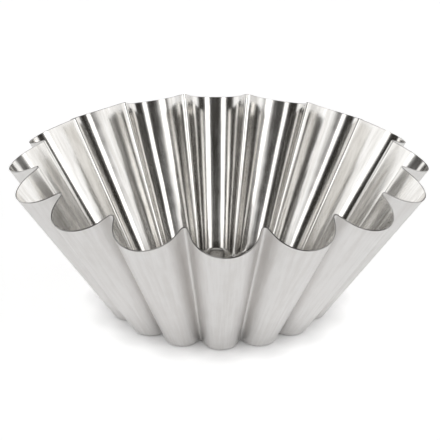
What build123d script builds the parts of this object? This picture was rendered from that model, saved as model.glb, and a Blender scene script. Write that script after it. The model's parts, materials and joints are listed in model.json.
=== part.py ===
from build123d import *
from math import asin, atan, atan2, cos, hypot, pi, sin, sqrt
import os

# Fluted brioche mould: one open pan drawn from thin steel sheet. A flat floor, a rounded floor edge,
# a flaring wall of round lobes with tight creases between them, and a raw rim that dips at each lobe.
# Millimetres. The origin is the middle of the underside, +Z is up, and one lobe points along -Y.

flute_count = 16
sheet_thickness = 0.5

# The rim, on the outer face of the sheet. It is highest at the creases and dips at the lobes.
rim_radius = 110.0
rim_flute_depth = 15.0
rim_crease_bend = 3.4
rim_height = 84.3
rim_dip = 7.8

# The floor, on the outer face, measured to the sharp corner that its wall and underside would make
floor_radius = 59.5
floor_flute_depth = 9.0
floor_crease_bend = 2.5
floor_edge_radius = 3.5

# Each flank's straight length, as a share of the distance between the centres of its two arcs
flank_share = 0.2

# How many flat steps round the floor edge
floor_edge_steps = 2

# Where the first lobe points, in degrees from +X
first_lobe_bearing = -90.0

half_pitch = pi / flute_count
lobe_height = rim_height - rim_dip
rim_fall = rim_dip / rim_flute_depth
wall_lean = atan((rim_radius - floor_radius) / lobe_height)
level_thickness = sheet_thickness / cos(wall_lean)


def fluted_ring(lobe_radius, flute_depth, crease_bend, inset):
    """One level turn of the sheet: per flute a lobe arc, a flank, a crease arc and a flank, as edges."""
    crease_radius = lobe_radius - flute_depth
    crease_centre = Vector(cos(half_pitch), sin(half_pitch)) * (crease_radius + crease_bend)

    # The lobe arc's radius follows from the flanks, which touch both arcs
    reach = lobe_radius - crease_centre.X
    span = hypot(reach, crease_centre.Y)
    touch_share = 1 - flank_share**2
    half_sum = crease_bend + touch_share * reach
    spare = touch_share * span**2 - crease_bend**2
    lobe_bend = (sqrt(half_sum**2 + flank_share**2 * spare) - half_sum) / flank_share**2
    lobe_centre = Vector(lobe_radius - lobe_bend, 0)
    between = crease_centre - lobe_centre
    turn = atan2(between.Y, between.X) - asin(flank_share)
    flank_normal = Vector(cos(turn), sin(turn))

    lobe_end = lobe_centre + flank_normal * (lobe_bend - inset)
    crease_start = crease_centre - flank_normal * (crease_bend + inset)
    crease_middle = Vector(cos(half_pitch), sin(half_pitch)) * (crease_radius - inset)
    pitch = 360 / flute_count
    lobe_start = Vector(lobe_end.X, -lobe_end.Y)
    corners = [
        lobe_start,
        Vector(lobe_radius - inset, 0),
        lobe_end,
        crease_start,
        crease_middle,
        Vector(crease_start.X, -crease_start.Y).rotate(Axis.Z, pitch),
        lobe_start.rotate(Axis.Z, pitch),
    ]
    edges = []
    for flute in range(flute_count):
        points = [corner.rotate(Axis.Z, first_lobe_bearing + flute * pitch) for corner in corners]
        edges.append(Edge.make_three_point_arc(points[0], points[1], points[2]))
        edges.append(Edge.make_line(points[2], points[3]))
        edges.append(Edge.make_three_point_arc(points[3], points[4], points[5]))
        edges.append(Edge.make_line(points[5], points[6]))
    return edges


def level_ring(plan_height, height, inset):
    """The drawn wall's plan at one height, set in by a level distance and placed at another height."""
    share = plan_height / lobe_height
    edges = fluted_ring(
        floor_radius + (rim_radius - floor_radius) * share,
        floor_flute_depth + (rim_flute_depth - floor_flute_depth) * share,
        floor_crease_bend + (rim_crease_bend - floor_crease_bend) * share,
        inset,
    )
    return [edge.moved(Location((0, 0, height))) for edge in edges]


def rim_ring(inset):
    """The waved rim: each edge of the rim's plan, lifted onto a cone nearly square to the wall."""
    def lifted(point):
        return point + Vector(0, 0, lobe_height + rim_fall * (rim_radius - hypot(point.X, point.Y)))

    ring = []
    for edge in fluted_ring(rim_radius, rim_flute_depth, rim_crease_bend, inset):
        start, middle, end = lifted(edge @ 0), lifted(edge @ 0.5), lifted(edge @ 1)
        if edge.geom_type == GeomType.LINE:
            ring.append(Edge.make_line(start, end))
        else:
            ring.append(Edge.make_three_point_arc(start, middle, end))
    return ring


def skin_rings(inset, floor_height, edge_radius):
    """One face of the sheet as rings: up round the floor edge, then straight up the wall to the rim."""
    wall_start = floor_height + edge_radius * (1 - sin(wall_lean))
    rings = []
    for step in range(floor_edge_steps + 1):
        turn = (pi / 2 - wall_lean) * step / floor_edge_steps
        rise = edge_radius * (1 - cos(turn))
        rounding = edge_radius * (cos(wall_lean) - sin(turn))
        rings.append(level_ring(wall_start, floor_height + rise, inset + rounding))
    rings.append(rim_ring(inset))
    return rings


def ruled_strip(low_ring, high_ring):
    return [Face.make_surface_from_curves(low, high) for low, high in zip(low_ring, high_ring)]


def fluted_mould():
    """The pan: both faces of the sheet, its floor and its raw cut rim, closed into one solid."""
    outside = skin_rings(0, 0, floor_edge_radius)
    inside = skin_rings(level_thickness, sheet_thickness, floor_edge_radius - sheet_thickness)
    faces = ruled_strip(outside[-1], inside[-1])
    for rings in (outside, inside):
        faces.append(Face(Wire(rings[0])))
        for low_ring, high_ring in zip(rings, rings[1:]):
            faces += ruled_strip(low_ring, high_ring)
    return Solid(Shell(faces))


os.makedirs("parts", exist_ok=True)
mould = fluted_mould()
export_step(mould, "parts/fluted_mould.step")
print("fluted_mould volume %.1f mm3, valid %s" % (mould.volume, mould.is_valid))
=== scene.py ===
import json
from math import asin, atan, atan2, cos, hypot, pi, radians, sin, sqrt

import bmesh
import bpy
from mathutils import Matrix, Vector

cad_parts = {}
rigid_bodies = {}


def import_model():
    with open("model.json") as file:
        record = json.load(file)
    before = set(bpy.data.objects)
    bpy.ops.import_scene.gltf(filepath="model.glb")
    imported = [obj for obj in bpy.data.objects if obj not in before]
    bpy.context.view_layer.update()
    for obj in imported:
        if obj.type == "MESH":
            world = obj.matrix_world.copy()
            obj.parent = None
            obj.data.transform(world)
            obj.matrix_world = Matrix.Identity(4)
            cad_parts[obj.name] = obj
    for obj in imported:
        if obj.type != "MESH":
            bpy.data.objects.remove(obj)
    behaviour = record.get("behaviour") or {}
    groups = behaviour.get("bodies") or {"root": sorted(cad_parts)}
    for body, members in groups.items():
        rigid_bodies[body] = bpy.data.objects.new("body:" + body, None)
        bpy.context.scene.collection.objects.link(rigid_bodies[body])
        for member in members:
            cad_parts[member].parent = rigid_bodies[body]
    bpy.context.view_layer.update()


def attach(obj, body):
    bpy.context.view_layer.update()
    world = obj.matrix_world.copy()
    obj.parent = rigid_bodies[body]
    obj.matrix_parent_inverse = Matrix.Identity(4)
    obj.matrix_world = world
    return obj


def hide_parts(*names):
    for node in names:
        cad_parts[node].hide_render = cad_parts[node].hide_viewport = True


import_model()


# The pressing. One round blank of thin bright steel is drawn into a flat-floored pan, and the tool
# folds its flaring wall into round flutes with tight creases between them. The rim is trimmed after
# the drawing, so it dips at each flute, and its cut edge is left raw.

FLUTES = 16
PITCH = 2 * pi / FLUTES
SHEET = 0.0005
RIM_RADIUS, RIM_FLUTE_DEPTH, RIM_CREASE_BEND = 0.110, 0.015, 0.0016
FLOOR_RADIUS, FLOOR_FLUTE_DEPTH, FLOOR_CREASE_BEND = 0.0595, 0.009, 0.0008
FLANK_SHARE = 0.2
RIM_HEIGHT, RIM_DIP = 0.0843, 0.0078
FLOOR_EDGE_RADIUS = 0.0035
FLOOR_EDGE_STEPS = 6
LOBE_STEPS, FLANK_STEPS, CREASE_STEPS = 22, 3, 12
WALL_CUTS = 22
MERGE = 0.000002
SMOOTH_BELOW = radians(35)
UPRIGHT = (0, 0, 1)

lobe_height = RIM_HEIGHT - RIM_DIP
rim_fall = RIM_DIP / RIM_FLUTE_DEPTH
wall_lean = atan((RIM_RADIUS - FLOOR_RADIUS) / lobe_height)


def draw_flutes(share, height, inset):
    """Draws one level turn of the sheet as a closed line of edges in the mesh being edited."""
    lobe_radius = FLOOR_RADIUS + (RIM_RADIUS - FLOOR_RADIUS) * share
    depth = FLOOR_FLUTE_DEPTH + (RIM_FLUTE_DEPTH - FLOOR_FLUTE_DEPTH) * share
    crease_bend = FLOOR_CREASE_BEND + (RIM_CREASE_BEND - FLOOR_CREASE_BEND) * share
    middle = lobe_radius - depth + crease_bend
    crease = Vector((middle * cos(PITCH / 2), middle * sin(PITCH / 2), height))

    # The lobe arc's radius follows from the straight flanks, which touch both arcs
    reach = lobe_radius - crease.x
    touch = 1 - FLANK_SHARE**2
    half_sum = crease_bend + touch * reach
    spare = touch * (reach**2 + crease.y**2) - crease_bend**2
    lobe_bend = (sqrt(half_sum**2 + FLANK_SHARE**2 * spare) - half_sum) / FLANK_SHARE**2
    lobe = Vector((lobe_radius - lobe_bend, 0, height))
    sweep = atan2(crease.y, crease.x - lobe.x) - asin(FLANK_SHARE)
    square = Vector((cos(sweep), sin(sweep), 0))
    lobe_end = lobe + square * (lobe_bend - inset)
    crease_start = crease - square * (crease_bend + inset)
    flank = (crease_start - lobe_end) / FLANK_STEPS
    turned = Matrix.Rotation(PITCH, 3, "Z")
    back = turned @ (flank * Vector((-1, 1, 1)))

    bpy.ops.mesh.select_all(action="DESELECT")
    start = Vector((lobe_end.x, -lobe_end.y, height))
    bpy.ops.mesh.primitive_plane_add(size=SHEET, location=start)
    bpy.ops.mesh.merge(type="CENTER")
    bpy.ops.mesh.spin(steps=LOBE_STEPS, angle=-2 * sweep, center=lobe, axis=UPRIGHT)
    for step in range(FLANK_STEPS):
        bpy.ops.mesh.extrude_region_move(TRANSFORM_OT_translate={"value": flank})
    bend = 2 * sweep - PITCH
    bpy.ops.mesh.spin(steps=CREASE_STEPS, angle=bend, center=crease, axis=UPRIGHT)
    for step in range(FLANK_STEPS):
        bpy.ops.mesh.extrude_region_move(TRANSFORM_OT_translate={"value": back})
    bpy.ops.mesh.select_linked()
    bpy.ops.mesh.spin(steps=FLUTES - 1, dupli=True, angle=PITCH - 2 * pi,
                      center=(0, 0, 0), axis=UPRIGHT)
    bpy.ops.mesh.select_all(action="SELECT")
    bpy.ops.mesh.remove_doubles(threshold=MERGE)


def free_edges():
    """Selects the sheet's open edge and the newest line, which the next strip joins."""
    bpy.ops.mesh.select_all(action="DESELECT")
    bpy.ops.mesh.select_non_manifold(extend=False, use_wire=True, use_boundary=True,
                                     use_multi_face=False, use_non_contiguous=False,
                                     use_verts=False)


bpy.ops.object.select_all(action="DESELECT")
bpy.ops.mesh.primitive_plane_add(size=SHEET)
mould = bpy.context.object
mould.name = "fluted_pressing"
bpy.ops.object.mode_set(mode="EDIT")
bpy.ops.mesh.select_mode(type="VERT")
bpy.ops.mesh.delete(type="VERT")

# The flat floor, then up round its rounded edge in short strips
wall_start = FLOOR_EDGE_RADIUS * (1 - sin(wall_lean))
for step in range(FLOOR_EDGE_STEPS + 1):
    turn = (pi / 2 - wall_lean) * step / FLOOR_EDGE_STEPS
    rounding = FLOOR_EDGE_RADIUS * (cos(wall_lean) - sin(turn))
    draw_flutes(wall_start / lobe_height, FLOOR_EDGE_RADIUS * (1 - cos(turn)), rounding)
    if step == 0:
        bpy.ops.mesh.edge_face_add()
    else:
        free_edges()
        bpy.ops.mesh.bridge_edge_loops()

# The wall runs straight up its flutes to the waved rim, which is a level line lifted onto a cone
draw_flutes(1, lobe_height, 0)
sheet = bmesh.from_edit_mesh(mould.data)
for vert in sheet.verts:
    if vert.is_wire:
        vert.co.z += rim_fall * (RIM_RADIUS - hypot(vert.co.x, vert.co.y))
bmesh.update_edit_mesh(mould.data)
free_edges()
bpy.ops.mesh.bridge_edge_loops(number_cuts=WALL_CUTS, interpolation="LINEAR")
bpy.ops.mesh.select_all(action="SELECT")
bpy.ops.mesh.normals_make_consistent(inside=False)
bpy.ops.object.mode_set(mode="OBJECT")

# What is drawn so far is the outer face, and the sheet's thickness goes inwards from it
thickness = mould.modifiers.new("sheet", "SOLIDIFY")
thickness.thickness = SHEET
thickness.offset = -1
thickness.use_even_offset = True
bpy.ops.object.modifier_apply(modifier=thickness.name)
bpy.ops.object.shade_smooth_by_angle(angle=SMOOTH_BELOW)


class Strand:
    """One socket of a finish. Arithmetic on it adds the Math nodes that work it out."""

    def __init__(self, tree, socket=None):
        self.tree, self.socket = tree, socket

    def node(self, kind, settings=None, sockets=None, out=0):
        made = self.tree.nodes.new(kind)
        for name, value in (settings or {}).items():
            setattr(made, name, value)
        for name, value in (sockets or {}).items():
            if isinstance(value, Strand):
                self.tree.links.new(value.socket, made.inputs[name])
            else:
                made.inputs[name].default_value = value
        return Strand(self.tree, made.outputs[out] if made.outputs else None)

    def math(self, operation, *values):
        return self.node("ShaderNodeMath", {"operation": operation}, dict(enumerate(values)))

    def __add__(self, other):
        return self.math("ADD", self, other)

    __radd__ = __add__

    def __sub__(self, other):
        return self.math("SUBTRACT", self, other)

    def __rsub__(self, other):
        return self.math("SUBTRACT", other, self)

    def __mul__(self, other):
        return self.math("MULTIPLY", self, other)

    __rmul__ = __mul__

    def __truediv__(self, other):
        return self.math("DIVIDE", self, other)

    def __pow__(self, other):
        return self.math("POWER", self, other)

    def part(self, axis):
        """One number of a vector."""
        return self.node("ShaderNodeSeparateXYZ", sockets={0: self}, out=axis)

    def rise(self, low, high):
        """0 below low, 1 above high, and smooth between."""
        return self.node("ShaderNodeMapRange", {"interpolation_type": "SMOOTHSTEP"},
                         {"Value": self, "From Min": low, "From Max": high})

    def blend(self, dark, light):
        """A colour between two colours, by this number."""
        return self.node("ShaderNodeMix", {"data_type": "RGBA"},
                         {0: self, 6: dark, 7: light}, out=2)


def new_finish(name):
    finish = bpy.data.materials.new(name)
    finish.use_nodes = True
    finish.node_tree.nodes.clear()
    return finish, Strand(finish.node_tree)


# Bright inside, satin outside. The sheet's inner face looks up and its outer face looks down.
INSIDE_TURN = 0.15
steel, made = new_finish("bright_steel")
place = made.node("ShaderNodeTexCoord", out="Object")
across, deep, height = place.part("X"), place.part("Y"), place.part("Z")
radius = (across * across + deep * deep) ** 0.5
facing = made.node("ShaderNodeNewGeometry", out="Normal").part("Z")
inside = facing.rise(-INSIDE_TURN, INSIDE_TURN)

# The cut edge is what lies within this little of the rim's cone
RAW_START, RAW_FULL = -0.0003, -0.00015
above_rim = height - (lobe_height + rim_fall * (RIM_RADIUS - radius))
raw_edge = above_rim.rise(RAW_START, RAW_FULL)

# Drawing lines run up the flutes: a pattern by bearing round the mould, stretched up the wall. On the
# flat floor they give way to an even grain.
FLAT_RADIUS = 0.048
STRETCH = 0.8
reach = made.math("MAXIMUM", radius, FLAT_RADIUS)
bearing = made.node("ShaderNodeCombineXYZ", sockets={
    "X": across / reach, "Y": deep / reach, "Z": height * STRETCH})
GRAIN_ROUGHNESS = 0.55


def grain(pattern, scale, detail):
    return made.node("ShaderNodeTexNoise", sockets={
        "Vector": pattern, "Scale": scale, "Detail": detail, "Roughness": GRAIN_ROUGHNESS})


streaks = grain(bearing, scale=60.0, detail=4.0)
broad = grain(bearing, scale=14.0, detail=2.0)
mottle = grain(place, scale=160.0, detail=4.0)
edge_patches = grain(bearing, scale=7.0, detail=3.0)
dents = grain(place, scale=38.0, detail=2.0)

SATIN_DARK, SATIN_LIGHT = (0.725, 0.709, 0.694, 1), (0.795, 0.785, 0.775, 1)
brushing = 0.5 * streaks + 0.35 * broad + 0.15 * mottle
satin = brushing.rise(0.38, 0.62).blend(SATIN_DARK, SATIN_LIGHT)

# Inside, the colour carries painted shade on the floor and low on the wall, mottled, for the dark
# that the steel mirrors there
BRIGHT_DARK, BRIGHT_LIGHT = (0.74, 0.722, 0.693, 1), (0.87, 0.858, 0.836, 1)
PAINTED_SHADE = (0.34, 0.325, 0.305, 1)
SHADE_BELOW, SHADE_ENDS_ABOVE = 0.002, 0.018
# painted shade: its weight is strongest at the floor and fades out a little way up the wall
low = 1 - height.rise(SHADE_BELOW, SHADE_ENDS_ABOVE)
bright = streaks.rise(0.35, 0.65).blend(BRIGHT_DARK, BRIGHT_LIGHT)
bright = (low * (0.35 + 0.5 * mottle)).blend(bright, PAINTED_SHADE)

RAW_DARK, RAW_LIGHT = (0.13, 0.125, 0.12, 1), (0.50, 0.49, 0.475, 1)
raw = edge_patches.rise(0.42, 0.60).blend(RAW_DARK, RAW_LIGHT)
colour = raw_edge.blend(inside.blend(satin, bright), raw)

RAW_ROUGH = 0.40
satin_rough = 0.28 + 0.08 * streaks
bright_rough = 0.13 + 0.09 * streaks
rough = satin_rough + inside * (bright_rough - satin_rough)
rough = rough + raw_edge * (RAW_ROUGH - rough)

SWELL_STRENGTH, SWELL_HEIGHT = 0.25, 0.0005
swell = made.node("ShaderNodeBump", sockets={
    "Height": 0.7 * broad + 0.06 * streaks + 1.6 * dents,
    "Strength": SWELL_STRENGTH, "Distance": SWELL_HEIGHT})
skin = made.node("ShaderNodeBsdfPrincipled", sockets={
    "Base Color": colour, "Metallic": 1.0, "Roughness": rough, "Normal": swell})
made.node("ShaderNodeOutputMaterial", sockets={"Surface": skin})
mould.data.materials.append(steel)

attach(mould, "root")
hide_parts("fluted_mould")


# The tabletop. A wide plain pale sheet, which the mould stands on. What the camera and the polished
# steel see of it is nearly white, and it keeps the mould's soft shadow, darkest where they touch.

TABLE_WIDTH = 12
PAPER = (0.8, 0.8, 0.8, 1)
GLOW, SEEN_IN_STEEL = 0.55, 0.68
CONTACT_REACH = 0.012
bpy.ops.object.select_all(action="DESELECT")
bpy.ops.mesh.primitive_plane_add(size=TABLE_WIDTH)
tabletop = bpy.context.object
tabletop.name = "tabletop"
paper, laid = new_finish("pale_paper")
sight = laid.node("ShaderNodeLightPath", out="Is Camera Ray")
sight = sight + SEEN_IN_STEEL * laid.node("ShaderNodeLightPath", out="Is Glossy Ray")
sight = sight + laid.node("ShaderNodeLightPath", out="Is Transmission Ray")
matt = laid.node("ShaderNodeBsdfDiffuse", sockets={"Color": PAPER})
open_air = laid.node("ShaderNodeAmbientOcclusion", sockets={"Distance": CONTACT_REACH}, out="AO")
glow = laid.node("ShaderNodeEmission", sockets={
    "Color": sight * GLOW * open_air, "Strength": 1.0})
laid.node("ShaderNodeOutputMaterial", sockets={
    "Surface": laid.node("ShaderNodeAddShader", sockets={0: matt, 1: glow})})
tabletop.data.materials.append(paper)


# The studio. A pale room with a dark band overhead from front to back and a dark card lower at each
# side, which give the steel something to mirror, and a large soft lamp each side of the camera.

CARD, WALLS = (0.020, 0.017, 0.014, 1), (1.15, 1.15, 1.15, 1)
WHITE = (1, 1, 1, 1)
room = bpy.data.worlds.new("studio")
bpy.context.scene.world = room
room.use_nodes = True
room.node_tree.nodes.clear()
air = Strand(room.node_tree)
aim = air.node("ShaderNodeTexCoord", out="Generated")
east, north, up = aim.part("X"), aim.part("Y"), aim.part("Z")
seen = air.node("ShaderNodeLightPath", out="Is Camera Ray")

# Each span is of a direction's share to the east, north or up. Straight overhead the band is paler.
ZENITH_PALER = 0.55
overhead = (1 - (east * east).rise(0.16, 0.34)) * up.rise(0.56, 0.64)
overhead = overhead * (1 - ZENITH_PALER * up.rise(0.88, 0.98))
CARD_SETBACK, CARD_SKEW = 0.10, 0.05
side_card = 1 - ((north + CARD_SETBACK) ** 2.0 + CARD_SKEW * east).rise(0.09, 0.19)
side_card = side_card * up.rise(0.22, 0.34) * (1 - up.rise(0.66, 0.78))
card = 1 - (1 - overhead) * (1 - side_card)
surround = card.blend(WALLS, CARD)
backdrop = seen.blend(surround, WHITE)
air.node("ShaderNodeOutputWorld", sockets={
    "Surface": air.node("ShaderNodeBackground", sockets={"Color": backdrop, "Strength": 1.0})})

LAMP_WATTS = 2.2
LAMP_WIDTH, LAMP_LENGTH = 0.55, 0.9
LAMP_OUT, LAMP_FORWARD, LAMP_UP = 1.06, -0.84, 1.0
LAMP_TARGET = Vector((0, 0, 0.04))
for side in (-1, 1):
    spot = Vector((side * LAMP_OUT, LAMP_FORWARD, LAMP_UP))
    lamp = bpy.data.objects.new("softbox", bpy.data.lights.new("softbox", "AREA"))
    lamp.data.shape = "RECTANGLE"
    lamp.data.size, lamp.data.size_y = LAMP_WIDTH, LAMP_LENGTH
    lamp.data.energy = LAMP_WATTS
    pointed = (LAMP_TARGET - spot).to_track_quat("-Z", "Y").to_matrix().to_4x4()
    lamp.matrix_world = Matrix.Translation(spot) @ pointed
    bpy.context.collection.objects.link(lamp)


# The camera looks down at the mould from the photograph's angle, a little to the left of one flute.

EYE = Vector((0.0005, -0.6943, 0.3598))
LOOK_AT = Vector((0.0005, 0.0, 0.0433))
ORBIT, ROLL = radians(-1.667), radians(0.59)
LENS, SENSOR_WIDTH, SHIFT_UP = 116.9, 36, 0.011
FARTHEST = 100
view = bpy.data.objects.new("camera", bpy.data.cameras.new("camera"))
view.data.lens, view.data.sensor_width = LENS, SENSOR_WIDTH
view.data.shift_y = SHIFT_UP
view.data.clip_end = FARTHEST
aimed = (LOOK_AT - EYE).to_track_quat("-Z", "Y").to_matrix().to_4x4()
placed = Matrix.Rotation(ORBIT, 4, "Z") @ Matrix.Translation(EYE)
view.matrix_world = placed @ aimed @ Matrix.Rotation(ROLL, 4, "Z")
bpy.context.collection.objects.link(view)
bpy.context.scene.camera = view
bpy.context.scene.view_settings.view_transform = "Standard"
